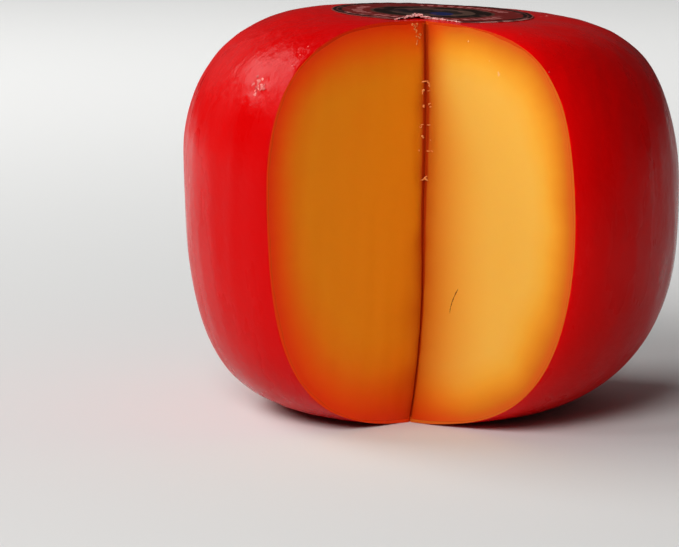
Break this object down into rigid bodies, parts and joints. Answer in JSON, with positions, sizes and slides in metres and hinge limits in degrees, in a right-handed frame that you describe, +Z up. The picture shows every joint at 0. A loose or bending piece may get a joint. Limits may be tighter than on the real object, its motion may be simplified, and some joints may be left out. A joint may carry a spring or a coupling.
{
  "type": "ball of cheese",
  "caption": "Squat ball of semi-hard cheese in a red wax coat, flat at crown and foot, with a wedge cut out of its front and a round paper label on top.",
  "frame": {"origin": "middle of the flat foot that the ball stands on, on the ball's axis", "axes": "+Z up along the ball's axis; the cut wedge opens towards -Y; +X is to the right of someone who looks into the cut"},
  "size_m": [0.15, 0.1377, 0.1218],
  "materials": {
    "wax": "thin red wax coat with a soft, uneven shine",
    "paste": "smooth yellow cheese paste, cut with a knife",
    "paper": "coated paper printed with plain dark rings"
  },
  "bodies": {
    "root": {"cheese_ball": "wax", "label": "paper"}
  },
  "joints": []
}
